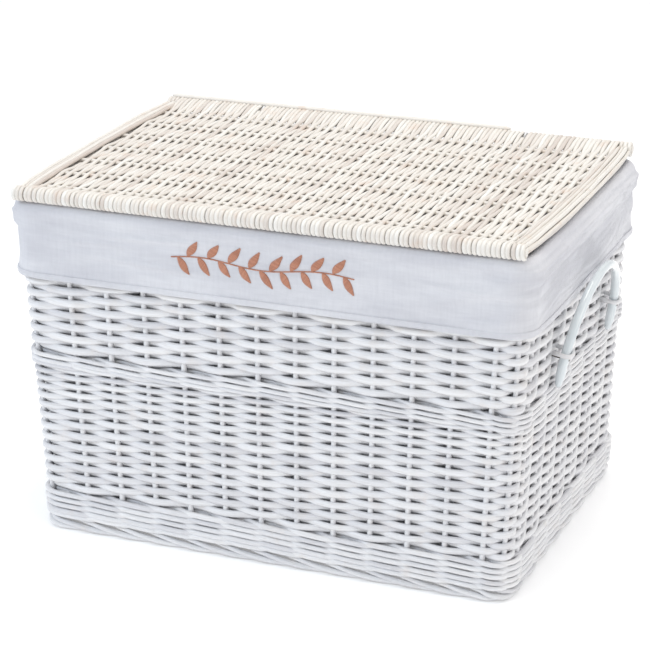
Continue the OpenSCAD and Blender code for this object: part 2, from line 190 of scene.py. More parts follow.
class Strands:
    """Rods and strands swept along paths and gathered into one piece."""

    def __init__(self, name, sides=8):
        self.name, self.sides = name, sides
        self.verts, self.quads, self.caps, self.tints, self.grains = [], [], [], [], []
        self.count = 0

    def add(self, path, up, thick, wide=None, tint=0.5, taper=(0, 0)):
        """Thick is half the thickness along up, and wide is half the width across it."""
        path = np.asarray(path, float)
        n, k = len(path), self.sides
        up = np.broadcast_to(np.asarray(up, float), path.shape)
        thick = np.broadcast_to(np.asarray(thick, float), n).copy()
        wide = thick.copy() if wide is None else np.broadcast_to(np.asarray(wide, float), n).copy()
        step = np.linalg.norm(np.diff(path, axis=0), axis=1)
        run = np.concatenate([[0], np.cumsum(step)])
        for length, near in ((taper[0], run), (taper[1], run[-1] - run)):
            if length:
                share = np.sqrt(np.clip(near / length, 0.12, 1))
                thick *= share
                wide *= share
        t = np.gradient(path, axis=0)
        t /= np.linalg.norm(t, axis=1, keepdims=True) + 1e-12
        o = up - (up * t).sum(1, keepdims=True) * t
        o /= np.linalg.norm(o, axis=1, keepdims=True) + 1e-12
        w = np.cross(t, o)
        phi = np.arange(k) * 2 * np.pi / k + np.pi / k
        c, s = np.cos(phi), np.sin(phi)
        along_up = o[:, None] * (thick[:, None] * c)[..., None]
        across = w[:, None] * (wide[:, None] * s)[..., None]
        ring = path[:, None] + along_up + across
        self.verts.append(ring.reshape(-1, 3))
        i = np.arange(n - 1)[:, None] * k + np.arange(k)
        j = np.arange(n - 1)[:, None] * k + (np.arange(k) + 1) % k
        quads = np.stack([i, j, j + k, i + k], -1).reshape(-1, 4)
        self.quads.append(quads + self.count)
        first = np.arange(k)[::-1]
        self.caps.append(np.stack([first, (n - 1) * k + np.arange(k)]) + self.count)
        self.tints.append(np.full(n * k, tint))
        own_place = rng.uniform(0, 400, 3)        # so that no two strands share their grain
        grain = np.stack([np.broadcast_to(c * GRAIN_R, (n, k)), np.broadcast_to(s * GRAIN_R, (n, k)),
                          np.broadcast_to(run[:, None], (n, k))], -1)
        self.grains.append(grain.reshape(-1, 3) + own_place)
        self.count += n * k

    def build(self, material, body, replaced=()):
        quads, caps = np.concatenate(self.quads), np.concatenate(self.caps)
        smooth = np.concatenate([np.ones(len(quads), bool), np.zeros(len(caps), bool)])
        obj = make_mesh(self.name, np.concatenate(self.verts), [quads, caps], smooth,
                        np.concatenate(self.tints), np.concatenate(self.grains))
        return place(obj, material, body, replaced)


def place(obj, material, body, replaced=()):
    obj.data.materials.append(material)
    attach(obj, body)
    if replaced:
        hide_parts(*replaced)
    return obj


def wave(x, seed, octaves=3, base=1.0):
    """Smooth repeatable noise along one number, about -1 to 1."""
    r = np.random.default_rng(seed)
    x = np.asarray(x, float)
    total = np.zeros_like(x)
    for k in range(octaves):
        for _ in range(2):
            total += np.sin(x * base * 2.0 ** k * r.uniform(0.8, 1.25) + r.uniform(0, 6.28)) / 2 / 1.7 ** k
    return total / 1.6


def random_wave(x, base=1.0):
    """A wave of its own: its seed is the next random draw."""
    return wave(x, int(rng.integers(1 << 30)), 2, base)


# ---------------------------------------------------------------- materials
def nodes_of(name):
    m = bpy.data.materials.new(name)
    m.use_nodes = True
    t = m.node_tree
    bsdf = next(n for n in t.nodes if n.type == "BSDF_PRINCIPLED")
    return m, t, bsdf


def link(t, a, b):
    t.links.new(a, b)


def ramp(t, fac, stops):
    r = t.nodes.new("ShaderNodeValToRGB")
    e = r.color_ramp.elements
    e[0].position, e[0].color = stops[0][0], (*stops[0][1], 1)
    e[1].position, e[1].color = stops[-1][0], (*stops[-1][1], 1)
    for pos, col in stops[1:-1]:
        n = e.new(pos)
        n.color = (*col, 1)
    link(t, fac, r.inputs[0])
    return r.outputs[0]


def noise(t, vector, scale, detail=3.0, rough=0.5, squeeze=None):
    if squeeze is not None:
        m = t.nodes.new("ShaderNodeMapping")
        m.inputs["Scale"].default_value = squeeze
        link(t, vector, m.inputs["Vector"])
        vector = m.outputs[0]
    n = t.nodes.new("ShaderNodeTexNoise")
    n.inputs["Scale"].default_value = scale
    n.inputs["Detail"].default_value = detail
    n.inputs["Roughness"].default_value = rough
    link(t, vector, n.inputs["Vector"])
    return n.outputs["Fac"]


def attribute(t, name, output):
    a = t.nodes.new("ShaderNodeAttribute")
    a.attribute_name = name
    return a.outputs[output]


def fill(t, value, socket):
    """Sets a number or a colour on the socket, and links anything else to it."""
    if isinstance(value, (int, float)):
        socket.default_value = value
    elif isinstance(value, tuple):
        socket.default_value = (*value, 1)
    else:
        link(t, value, socket)


def mix_colour(t, fac, a, b, blend="MIX"):
    m = t.nodes.new("ShaderNodeMix")
    m.data_type = "RGBA"
    m.blend_type = blend
    fill(t, fac, m.inputs[0])
    fill(t, a, m.inputs[6])
    fill(t, b, m.inputs[7])
    return m.outputs[2]


def math_node(t, kind, a, b):
    m = t.nodes.new("ShaderNodeMath")
    m.operation = kind
    fill(t, a, m.inputs[0])
    fill(t, b, m.inputs[1])
    return m.outputs[0]


def roughness(t, bsdf, value, least, most):
    """Roughness from least to most as the value goes from 0 to 1."""
    r = t.nodes.new("ShaderNodeMapRange")
    r.inputs["To Min"].default_value = least
    r.inputs["To Max"].default_value = most
    link(t, value, r.inputs["Value"])
    link(t, r.outputs[0], bsdf.inputs["Roughness"])


def bump(t, bsdf, height, strength, distance):
    b = t.nodes.new("ShaderNodeBump")
    b.inputs["Strength"].default_value = strength
    b.inputs["Distance"].default_value = distance
    link(t, height, b.inputs["Height"])
    link(t, b.outputs[0], bsdf.inputs["Normal"])


def painted_willow(name, tints, patch, patch_amount, rough, coat, own_grain=True):
    """Whitewashed willow: a colour for each rod, thin paint with long grain under it, and a soft gloss."""
    m, t, bsdf = nodes_of(name)
    place_v = t.nodes.new("ShaderNodeTexCoord").outputs["Object"]
    grain_v = attribute(t, "grain", "Vector") if own_grain else place_v
    base = ramp(t, attribute(t, "tint", "Fac") if own_grain else noise(t, place_v, 14), tints)
    long_grain = noise(t, grain_v, 900, 4, 0.6, (1, 1, 0.06) if own_grain else (0.06, 1, 1))
    thin = ramp(t, long_grain, [(0.30, (0.90, 0.885, 0.865)), (0.62, (1, 1, 1))])
    col = mix_colour(t, 1.0, base, thin, "MULTIPLY")
    spots = ramp(t, noise(t, place_v, 46, 3, 0.55), [(0.56, (0, 0, 0)), (0.72, (1, 1, 1))])
    col = mix_colour(t, math_node(t, "MULTIPLY", spots, patch_amount), col, patch)
    link(t, col, bsdf.inputs["Base Color"])
    roughness(t, bsdf, long_grain, rough - 0.07, rough + 0.12)
    bsdf.inputs["Coat Weight"].default_value = coat
    bsdf.inputs["Coat Roughness"].default_value = 0.22
    dents = noise(t, grain_v, 160, 2, 0.5, (1, 1, 0.35))
    bumps = math_node(t, "ADD", math_node(t, "MULTIPLY", long_grain, 0.5), dents)
    bump(t, bsdf, bumps, 0.5, 0.0006)
    return m


COOL = [(0.0, (0.67, 0.67, 0.70)), (0.35, (0.755, 0.76, 0.785)),
        (0.7, (0.80, 0.805, 0.825)), (1.0, (0.85, 0.85, 0.86))]
WARM = [(0.0, (0.64, 0.57, 0.52)), (0.3, (0.76, 0.715, 0.665)),
        (0.7, (0.83, 0.80, 0.75)), (1.0, (0.88, 0.87, 0.84))]
COOL_BARE = (0.72, 0.66, 0.62)        # where the paint is thin
WARM_BARE = (0.70, 0.55, 0.45)
willow = painted_willow("painted_willow", COOL, COOL_BARE, 0.35, 0.38, 0.25)
willow_cad = painted_willow("painted_willow_plain", COOL, COOL_BARE, 0.35, 0.40, 0.2, own_grain=False)
lid_willow = painted_willow("ivory_willow", WARM, WARM_BARE, 0.45, 0.45, 0.12)
lid_cad = painted_willow("ivory_willow_plain", WARM, WARM_BARE, 0.40, 0.45, 0.12, own_grain=False)


def bow_finish():
    m, t, bsdf = nodes_of("bow_gloss")
    v = attribute(t, "grain", "Vector")
    fine = noise(t, v, 500, 3, 0.6, (1, 1, 0.05))
    col = ramp(t, fine, [(0.3, (0.60, 0.66, 0.69)), (0.7, (0.74, 0.79, 0.81))])
    link(t, col, bsdf.inputs["Base Color"])
    roughness(t, bsdf, fine, 0.10, 0.22)
    bsdf.inputs["Coat Weight"].default_value = 1.0
    bsdf.inputs["Coat Roughness"].default_value = 0.05
    bump(t, bsdf, noise(t, v, 130, 2, 0.5, (1, 1, 0.3)), 0.35, 0.0008)
    return m


def cotton(name, light, shade):
    """Plain-woven cotton: crossing threads, slubs, painted shade of folds and a soft sheen."""
    m, t, bsdf = nodes_of(name)
    v = t.nodes.new("ShaderNodeTexCoord").outputs["Object"]
    threads = []
    for direction in ("X", "Z"):
        w = t.nodes.new("ShaderNodeTexWave")
        w.wave_type, w.bands_direction = "BANDS", direction
        w.inputs["Scale"].default_value = 480
        w.inputs["Distortion"].default_value = 1.2
        w.inputs["Detail"].default_value = 1
        w.inputs["Detail Scale"].default_value = 3
        link(t, v, w.inputs["Vector"])
        threads.append(w.outputs["Fac"])
    weave = math_node(t, "MULTIPLY", threads[0], threads[1])
    slub = noise(t, v, 300, 3, 0.6, (0.12, 0.12, 1))
    slub_up = noise(t, v, 300, 3, 0.6, (1, 1, 0.1))
    tone = math_node(t, "ADD", math_node(t, "MULTIPLY", slub, 0.5), math_node(t, "MULTIPLY", slub_up, 0.5))
    col = ramp(t, tone, [(0.35, shade), (0.62, light)])
    col = mix_colour(t, math_node(t, "MULTIPLY", weave, 0.06), col, (0.97, 0.97, 0.98))
    # painted shade: large soft patches darken the cloth's colour as the shade of its folds would
    fold_shade = noise(t, v, 11, 3, 0.55, (0.45, 0.45, 1.9))
    painted_fold_shade = ramp(t, fold_shade, [(0.38, (0.84, 0.84, 0.86)), (0.6, (1, 1, 1))])
    col = mix_colour(t, 1.0, col, painted_fold_shade, "MULTIPLY")
    link(t, col, bsdf.inputs["Base Color"])
    bsdf.inputs["Roughness"].default_value = 0.88
    bsdf.inputs["Sheen Weight"].default_value = 0.35
    bsdf.inputs["Sheen Roughness"].default_value = 0.45
    wrinkle = noise(t, v, 20, 3, 0.5, (0.8, 0.8, 1.5))
    fine = math_node(t, "ADD", weave, math_node(t, "MULTIPLY", tone, 1.4))
    height = math_node(t, "ADD", math_node(t, "MULTIPLY", fine, 0.10), wrinkle)
    bump(t, bsdf, height, 0.5, 0.0045)
    return m


def thread_finish():
    m, t, bsdf = nodes_of("embroidery_thread")
    v = attribute(t, "grain", "Vector")
    base = ramp(t, attribute(t, "tint", "Fac"), [(0, (0.40, 0.15, 0.085)), (1, (0.62, 0.28, 0.17))])
    ply = noise(t, v, 1600, 2, 0.5, (1, 1, 0.5))
    twist = ramp(t, ply, [(0.3, (0.8, 0.8, 0.8)), (0.6, (1, 1, 1))])
    link(t, mix_colour(t, 1.0, base, twist, "MULTIPLY"), bsdf.inputs["Base Color"])
    bsdf.inputs["Roughness"].default_value = 0.42
    bsdf.inputs["Sheen Weight"].default_value = 0.3
    bump(t, bsdf, ply, 0.4, 0.0003)
    return m


def nail_finish():
    m, t, bsdf = nodes_of("nail_steel")
    v = t.nodes.new("ShaderNodeTexCoord").outputs["Object"]
    worn = noise(t, v, 900, 3, 0.6)
    col = ramp(t, worn, [(0.3, (0.05, 0.045, 0.04)), (0.7, (0.16, 0.14, 0.12))])
    link(t, col, bsdf.inputs["Base Color"])
    bsdf.inputs["Metallic"].default_value = 0.8
    roughness(t, bsdf, worn, 0.35, 0.6)
    return m


bow_gloss = bow_finish()
cuff_cotton = cotton("cuff_cotton", (0.745, 0.75, 0.785), (0.69, 0.695, 0.73))
bag_cotton = cotton("bag_cotton", (0.80, 0.80, 0.81), (0.72, 0.72, 0.73))
thread = thread_finish()
nail = nail_finish()


def give(node, material):
    """A node of the CAD model that shows as it is gets its material."""
    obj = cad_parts[node]
    obj.data.materials.clear()
    obj.data.materials.append(material)
    for s in obj.material_slots:
        s.material = material


# ---------------------------------------------------------------- weaving of the walls
LOWER = dict(r=3.95, thick=2.9, amp=3.7)
UPPER = dict(r=4.6, thick=3.2, amp=4.0)


def sway(u, z):
    """How far the rows lie above or below level, the same for neighbouring rows."""
    slow = 0.8 * np.sin(2 * np.pi * u / N * 3 + z * 0.021)
    quick = 0.5 * np.sin(2 * np.pi * u / N * 8 + 1.3 + z * 0.034)
    return slow + quick


def randing(name, z0, z1, rows, r, thick, amp, squeeze, replaced):
    """Single weavers in front of one upright and behind the next, row over row.

    Squeeze is how much finer the rows get towards the top."""
    s = Strands(name)
    numbers = np.arange(rows)
    share = 1 + squeeze * (0.5 - (numbers + 0.5) / rows) - squeeze * 0.25 * np.cos(numbers / rows * 6.28)
    share *= (z1 - z0) / share.sum()
    edges = z0 + np.concatenate([[0], np.cumsum(share)])
    mean_height = (z1 - z0) / rows
    for row in range(rows):
        z_row = (edges[row] + edges[row + 1]) / 2
        fine = share[row] / mean_height
        u = int(rng.integers(0, N // 2)) * 2 + (1 + row) % 2
        left = N
        while left > 0:
            length = int(rng.integers(7, 12)) * 2
            if left - length < 10:
                length = left
            t = np.linspace(0.02, length - 0.02, length * 8 + 1)
            uu = u + t
            fade = 1 if z_row < CUFF_0 - 4 else 0.86      # flatter where the cloth lies over them
            over = rng.uniform(-0.35, 0.35)
            wob = random_wave(uu, 1.9)
            size = (1.04 - 0.12 * t / length) * (1 + 0.04 * random_wave(uu, 2.3))
            depth = amp * fade * np.cos(np.pi * (uu + row)) + over
            z = z_row + sway(uu, z_row) + 0.3 * wob
            p, nrm = wall(u_to_q(uu), z, depth)
            s.add(p, nrm, thick * size, r * fine ** 0.9 * size, rng.beta(2.0, 1.7), taper=(0, 14))
            u += length
            left -= length
    return s.build(willow, "trunk", replaced)


def waling(name, z0, z1, rounds, r, lift, amp, replaced):
    """Three rods worked together up a slow spiral.

    Each passes in front of two uprights and behind one, and its strokes run down to the right."""
    s = Strands(name)
    pitch = (z1 - z0) / rounds
    start = N * 7 // 8                # the spiral begins and ends round on the left-hand wall
    for strand in range(3):
        u, end = start + strand, start + N * rounds + strand
        while u < end - 1:
            length = int(rng.integers(4, 7)) * 3
            if end - u - length < 9:
                length = end - u
            t = np.linspace(0.03, length - 0.03, length * 9 + 1)
            uu = u + t
            theta = 2 * np.pi * (uu - strand - 0.5) / 3
            z_row = np.clip(z0 + (uu - start) / N * pitch, z0 + pitch / 2, z1 - pitch / 2)
            depth = amp * np.tanh(1.6 * (np.cos(theta) + 0.1)) / math.tanh(1.6 * 0.9)
            z = z_row - lift * np.sin(theta) + sway(uu, z_row) + 0.3 * random_wave(uu, 1.5)
            radius = r * (1.06 - 0.2 * t / length)
            p, nrm = wall(u_to_q(uu), z, depth)
            s.add(p, nrm, radius * 0.97, radius, rng.beta(2.2, 1.8), taper=(0, 14))
            u += length
    return s.build(willow, "trunk", replaced)


def uprights():
    """The stakes in each wall and the posts in the corners."""
    for side, name in enumerate(SIDES):
        s = Strands(name + "_uprights", 10)
        for q in STAKES[(STAKES >= 2 * side) & (STAKES < 2 * side + 1)]:
            z = np.linspace(FOOT_TOP - 4, WALL_TOP - 0.5, 40)
            lean = 0.5 * random_wave(z / 60)
            p, nrm = wall(np.full(40, q) + lean * 0.0016, z, 0.3)
            s.add(p, nrm, np.linspace(3.4, 3.2, 40), None, rng.uniform(0.3, 0.8))
        s.build(willow, "trunk", [name + "_stakes"])
    s = Strands("corner_uprights", 10)
    for q in (1.5, 3.5, 5.5, 7.5):
        z = np.linspace(FOOT_TOP - 4, WALL_TOP - 0.5, 40)
        p, nrm = wall(np.full(40, q), z, 0.0)
        s.add(p, nrm, np.linspace(3.1, 2.9, 40), None, 0.5)
    s.build(willow, "trunk", ["corner_posts"])


def foot():
    """Pairs of rods laid along the foot.

    Each runs down to the right outside its neighbours and in again underneath."""
    s = Strands("foot_rods")
    for i in range(N):
        for k in range(2):
            t = np.linspace(0, 1, 40)
            uu = i - 0.45 + 0.13 * k + 2.45 * t
            fall = np.clip(t / 0.8, 0, 1)
            z = FOOT_TOP - 1.5 - 1.2 * k - (FOOT_TOP - 5.4 - 1.2 * k) * (3 * fall ** 2 - 2 * fall ** 3)
            arch = 10.6 * np.sin(np.clip(t * 1.02, 0, 1) * np.pi) ** 0.5
            depth = -6.0 + arch - 1.1 * k * np.sin(np.pi * t)
            radius = (2.85 - 0.35 * t) * rng.uniform(0.93, 1.05)
            z = np.maximum(z, radius + 0.05)
            p, nrm = wall(u_to_q(uu), z, depth)
            s.add(p, nrm, radius, radius, rng.beta(2.2, 1.8), taper=(6, 10))
    return s.build(willow, "trunk", ["foot_border"])


def base():
    """Flat weave of the base: weavers across the long sticks, over one and under the next."""
    lo, hi = low("base_weave"), high("base_weave")
    z = (lo[2] + hi[2]) / 2
    sticks = Strands("base_rods", 10)
    n = 7
    room = hi[1] - lo[1]
    ys = [lo[1] - 0.2 + (room + 0.4) * (i + 1) / (n + 1) for i in range(n)]
    x0, x1 = low("base_sticks")[0], high("base_sticks")[0]
    for y in ys:
        x = np.linspace(x0, x1, 60)
        path = np.stack([x, np.full(60, y) + 0.8 * random_wave(x / 80), np.full(60, z)], -1)
        sticks.add(path, UP, 4.0, None, 0.6)
    sticks.build(willow, "trunk", ["base_sticks"])
    s = Strands("base_weavers")
    pitch = 6.3
    count = int((hi[0] - lo[0]) / pitch)
    step = ys[1] - ys[0]
    for k in range(count):
        x = lo[0] + 3.2 + k * (hi[0] - lo[0] - 6.4) / (count - 1)
        edge = max(0.0, 14 - (hi[0] - abs(x)))
        y = np.linspace(lo[1] + 1 + edge, hi[1] - 1 - edge, 96)
        zz = z + (5.1 if k % 2 else -5.1) * np.cos(np.pi * (y - ys[0]) / step)
        zz = np.clip(zz, lo[2] + 2.3, hi[2] - 2.3)
        path = np.stack([x + 0.4 * random_wave(y / 40), y, zz], -1)
        s.add(path, UP, 2.2, 2.95, rng.beta(2.2, 1.8))
    s.build(willow, "trunk", ["base_weave"])


# ---------------------------------------------------------------- cloth
def ring_of_q(step=3.2, radius=31.0):
    """Places round the wall about a step apart, with the corners taken at the given radius."""
    qs = []
    for seg in range(8):
        length = SIDE_RUNS[seg % 4] if seg % 2 == 0 else radius * np.pi / 2
        n = max(4, int(round(length / step)))
        qs.append(seg + np.arange(n) / n)
    return np.concatenate(qs)


def ring_quads(first, second, n):
    """Faces between two rings of n points, given by the numbers of their first points."""
    a = np.arange(n)
    b = (a + 1) % n
    return np.stack([first + a, second + a, second + b, first + b], -1)


def closed_band(name, rings):
    """A tube-like band from rings of points: rings (m, n, 3) close both ways round."""
    m, n = rings.shape[:2]
    quads = np.concatenate([ring_quads(k * n, (k + 1) % m * n, n) for k in range(m)])
    return make_mesh(name, rings.reshape(-1, 3), [quads], np.ones(len(quads), bool))


CLOTH = 1.3              # thickness of the cloth as modelled
BORDER_Z = (low("front_border")[2] + high("front_border")[2]) / 2
ROLL_R = BORDER_D / 2 + 0.9          # inner face of the cloth from the border's middle


def cuff_wave(q, s):
    """How far the cuff stands out at distance s below the middle of the border.

    It has slack, creases, a gently waving hem, and along the end walls a padded roll with a tuck under it."""
    arc = q_to_arc(q)
    q = np.mod(q, 8.0)
    down = np.clip(s / 80.0, 0, 1)
    hem_out = 5.5 * np.clip((down - 0.6) / 0.4, 0, 1) ** 1.6 * (1 + 0.45 * wave(arc / 55, 11, 2))
    flare = -2.0 * np.clip(s / 10, 0, 1) + hem_out
    slack = 1.3 * np.sin(down * np.pi) * (0.45 + 0.55 * wave(arc / 95, 12, 2))
    crease = 0.0
    # each crease by its distance down, width, depth and seed
    for at, wide, deep, seed in ((13, 4.0, 3.2, 13), (27, 4.0, 2.6, 17), (45, 5.0, 2.0, 14)):
        line = at + 9 * wave(arc / 110, seed, 2)
        amount = np.clip(0.15 + 1.2 * wave(arc / 80, seed + 5, 2), 0, 1.2)
        away = (s - line) / wide
        crease = crease + deep * amount * np.exp(-(away * (1 + 0.8 * (away > 0))) ** 2)
    end_wall = np.exp(-((np.mod(q - 2.5 + 2, 4) - 2) / 1.0) ** 8)
    tuck = 23 + 2.5 * wave(arc / 60, 21, 2)
    swell = 4.6 / (1 + np.exp((s - tuck + 3) / 0.9))
    pinch = 0.8 * np.exp(-((s - tuck) / 2.6) ** 2)
    roll = end_wall * np.clip(s / 4, 0, 1) * (swell - pinch)
    past_corner = np.mod(q - 1.0, 2)
    near_corner = np.exp(-(np.minimum(past_corner, 2 - past_corner) / 0.18) ** 2)
    fold = 2.0 * near_corner * np.sin(s / 6.5 + arc / 24.0) * np.sin(down * np.pi) ** 0.6
    ripple = 0.2 * wave(arc / 16 + s * 0.11, 15, 2) * (down > 0.02)
    return np.maximum(flare + slack + crease + roll + fold + ripple, -2.1)


def cuff_profile():
    """The cloth's section up the outside, over the border and down inside: rows of height, depth and s."""
    rows = []
    top = BORDER_Z
    for z in np.linspace(CUFF_0 + 0.6, top, 40)[:-1]:
        rows.append((z, ROLL_R, top - z))
    for a in np.linspace(0, np.pi, 17):
        rows.append((top + ROLL_R * math.sin(a), ROLL_R * math.cos(a), 0.0))
    rows.append((WALL_TOP + 1.2, -ROLL_R, 0.0))
    return np.array(rows)


HEM_RISE = 3.6           # middle of the hem above the cuff's lower edge


def cuff():
    """The band of cloth turned down over the rim, and its folded hem."""
    q = ring_of_q()
    arc = q_to_arc(q)
    rows = cuff_profile()
    face_out, face_in = [], []
    for i, (z, d, s) in enumerate(rows):
        a, b = rows[max(i - 1, 0)], rows[min(i + 1, len(rows) - 1)]
        tz, td = b[0] - a[0], b[1] - a[1]
        length = math.hypot(tz, td)
        nz, nd = -td / length, tz / length
        over_border = z > BORDER_Z
        stand = cuff_wave(q, np.full_like(q, s)) if d > 0 and not over_border else 0.0
        soft = 0.25 * wave(arc / 30 + i, 16, 2) if over_border else 0.0
        for faces, off in ((face_in, 0.0), (face_out, CLOTH)):
            p, _ = wall(q, np.full_like(q, z) + nz * (off + soft), d + nd * off + stand + nd * soft)
            p[:, 2] = z + nz * (off + soft)
            faces.append(p)
    obj = closed_band("cuff_cloth", np.array(face_out + face_in[::-1]))
    place(obj, cuff_cotton, "trunk", ["liner_cuff"])
    stand = cuff_wave(q, np.full_like(q, BORDER_Z - CUFF_0 - HEM_RISE))
    ripple = 0.25 * wave(arc / 9, 19, 2)
    rings = []
    for a in np.linspace(0, 2 * np.pi, 15)[:-1]:
        z = CUFF_0 + HEM_RISE + 3.7 * math.sin(a)
        d = 0.5 + 1.35 * math.cos(a)
        p, _ = wall(q, np.full_like(q, z), ROLL_R + CLOTH / 2 + d + stand + ripple)
        p[:, 2] = z + 0.5 * wave(arc / 60, 20, 2)
        rings.append(p)
    hem = closed_band("cuff_fold", np.array(rings)[::-1])
    place(hem, cuff_cotton, "trunk", ["cuff_hem"])
    return obj


BAG_BEND = 6             # radius between the bag's sides and its floor


def bag():
    """The liner inside: a sewn bag, one closed thin shell with slack folds in its corners."""
    q = ring_of_q(5.0, 14.0)
    z0, z1 = low("liner_bag")[2] + 0.4, WALL_TOP + 0.6
    depth = -(ROLL_R + 1.6)
    arc = q_to_arc(q)
    corner_near = np.exp(-(((np.mod(q, 2) - 1.5 + 1) % 2 - 1) / 0.28) ** 2)
    outer, inner = [], []
    for z in np.linspace(z1, z0 + BAG_BEND, 56):
        down = (z1 - z) / (z1 - z0)
        slack = 0.9 * wave(arc / 34 + down * 1.3, 31, 2) + 1.6 * corner_near * np.sin(arc / 3.4 + 2 * down)
        fold = slack * np.sin(np.pi * min(down * 1.1, 1)) ** 0.7
        sag = 1.2 * np.sin(np.pi * down)
        d = depth - 1.2 - sag - abs(fold)
        for faces, off in ((outer, 0.0), (inner, -CLOTH)):
            p, _ = wall(q, np.full_like(q, z), d + off)
            faces.append(p)
    for faces, off, lift in ((outer, 0.0, 0.0), (inner, -CLOTH, CLOTH)):
        base_ring = faces[-1]
        for k in range(1, 5):
            a = k / 4 * math.pi / 2
            p = base_ring.copy()
            shrink = BAG_BEND * (1 - math.cos(a))
            direction = p[:, :2] / np.linalg.norm(p[:, :2], axis=1, keepdims=True)
            p[:, :2] -= direction * shrink
            p[:, 2] = z0 + BAG_BEND - BAG_BEND * math.sin(a) + lift
            faces.append(p)
        last = faces[-1]
        for share in np.linspace(1, 0.03, 30)[1:]:
            p = last.copy()
            p[:, :2] *= share
            rumple = 0.5 * wave(p[:, 0] / 45 + p[:, 1] / 70, 35, 2) * min(1, (1 - share) * 6)
            p[:, 2] = z0 + lift + 0.5 + rumple
            faces.append(p)
    n = len(q)
    rings = outer + inner[::-1]
    verts = np.concatenate(rings)
    m, h = len(rings), len(outer)
    steps = list(range(h - 1)) + list(range(h, m - 1))
    quads = [ring_quads(k * n, (k + 1) * n, n) for k in steps]
    quads.append(ring_quads((m - 1) * n, 0, n))
    quads = np.concatenate(quads)
    # one face closes the middle of the floor on each side of the cloth
    centre_out = (h - 1) * n + np.arange(n)
    centre_in = (h * n) + np.arange(n)
    obj = make_mesh("liner_cloth", verts, [quads, centre_out[None, ::-1], centre_in[None]],
                    np.ones(len(quads) + 2, bool))
    place(obj, bag_cotton, "trunk", ["liner_bag"])
    return obj


# ---------------------------------------------------------------- lid
LID_RODS = 7
LID_GAP = 2 * FIELD_Y / (LID_RODS + 0.3)              # spacing of the long rods
ROD_YS = [(i - (LID_RODS - 1) / 2) * LID_GAP for i in range(LID_RODS)]
STRAND_RISE = 2.1                                     # how far a strand passes above or below the rods
STRANDS = 107
HALF_ROLL = LID_ROLL_D / 2
WRAP_R = (LID_CORE_D / 2 + HALF_ROLL) / 2             # middle of the wrapping strands round the cores
WRAP_HALF = (HALF_ROLL - LID_CORE_D / 2) / 2          # half their thickness


def rod_bend(x, y):
    """The long rods, more so towards the front, curve forwards at both ends."""
    return -12.0 * ((x - 20) / 290) ** 2 * np.clip(0.5 - y / 330, 0.12, 0.9)


def lid_rods():
    rods = Strands("lid_long_bars", 10)
    for y in ROD_YS:
        x = np.linspace(-LID_END + 2, LID_END - 2, 90)
        path = np.stack([x, y + rod_bend(x, y) + 0.4 * random_wave(x / 90), np.full(90, LID_Z)], -1)
        rods.add(path, UP, 2.5, 3.0, rng.uniform(0.2, 0.6))
    rods.build(lid_willow, "lid", ["lid_long_rods"])


def round_roll(middle, start, end):
    """Points (y, z) and outward directions round a roll of the lid, between two angles in degrees."""
    points, ups = [], []
    for a in np.radians(np.linspace(start, end, 16)):
        c, s = math.cos(a), math.sin(a)
        points.append((middle + WRAP_R * c, LID_Z + WRAP_R * s))
        ups.append((c, s))
    return points, ups


def over_rods(x, sign):
    """Points (y, z) of the strand at x between the rolls, over one long rod and under the next."""
    points = []
    top = LID_Z + WRAP_R
    first = ROD_YS[0] + rod_bend(x, ROD_YS[0])
    last = ROD_YS[-1] + rod_bend(x, ROD_YS[-1])
    for y in np.linspace(-ROLL_Y + 7, ROLL_Y - 7, 92):
        if y < first:
            near_roll = (first - y) / (first + ROLL_Y)
            phase = math.pi * (y - first) / LID_GAP
        elif y > last:
            near_roll = (y - last) / (ROLL_Y - last)
            phase = math.pi * (LID_RODS - 1 + (y - last) / LID_GAP)
        else:
            near_roll = 0.0
            phase = math.pi * (y - rod_bend(x, y) - ROD_YS[0]) / LID_GAP
        swing = math.cos(phase)
        z = LID_Z + (top - LID_Z) * near_roll ** 2 * (3 - 2 * near_roll)
        z += sign * STRAND_RISE * swing * abs(swing) ** 1.3 * (1 - near_roll ** 2)
        points.append((y, z))
    return points


def lid_field():
    """Strands from the front roll, round it and across the long rods, to the back roll and round that."""
    field = Strands("lid_strands")
    for k, x in enumerate(np.linspace(-FIELD_X + 2.6, FIELD_X - 2.6, STRANDS)):
        pts, ups = round_roll(-ROLL_Y, -58, -270)
        across = over_rods(x, 1 if k % 2 else -1)
        pts += across
        ups += [(0, 1)] * len(across)
        if abs(abs(x) - HINGE_X) < 4.6:
            # strands at the hinge loops stop short of the back roll
            pts, ups = pts[:-2], ups[:-2]
        else:
            back_pts, back_ups = round_roll(ROLL_Y, 90, -122)
            pts += back_pts
            ups += back_ups
        pts, ups = np.array(pts), np.array(ups)
        drift = 0.55 * random_wave(pts[:, 0] / 60)
        path = np.stack([x + drift + rng.uniform(-0.25, 0.25), pts[:, 0], pts[:, 1]], -1)
        up = np.stack([np.zeros(len(ups)), ups[:, 0], ups[:, 1]], -1)
        wide = 2.72 * rng.uniform(0.92, 1.06) * (1 + 0.05 * random_wave(pts[:, 0] / 50))
        field.add(path, up, WRAP_HALF * rng.uniform(0.92, 1.0), wide, rng.beta(2.4, 1.6))
    field.build(lid_willow, "lid", ["lid_weave", "lid_front_wrapping", "lid_back_wrapping"])


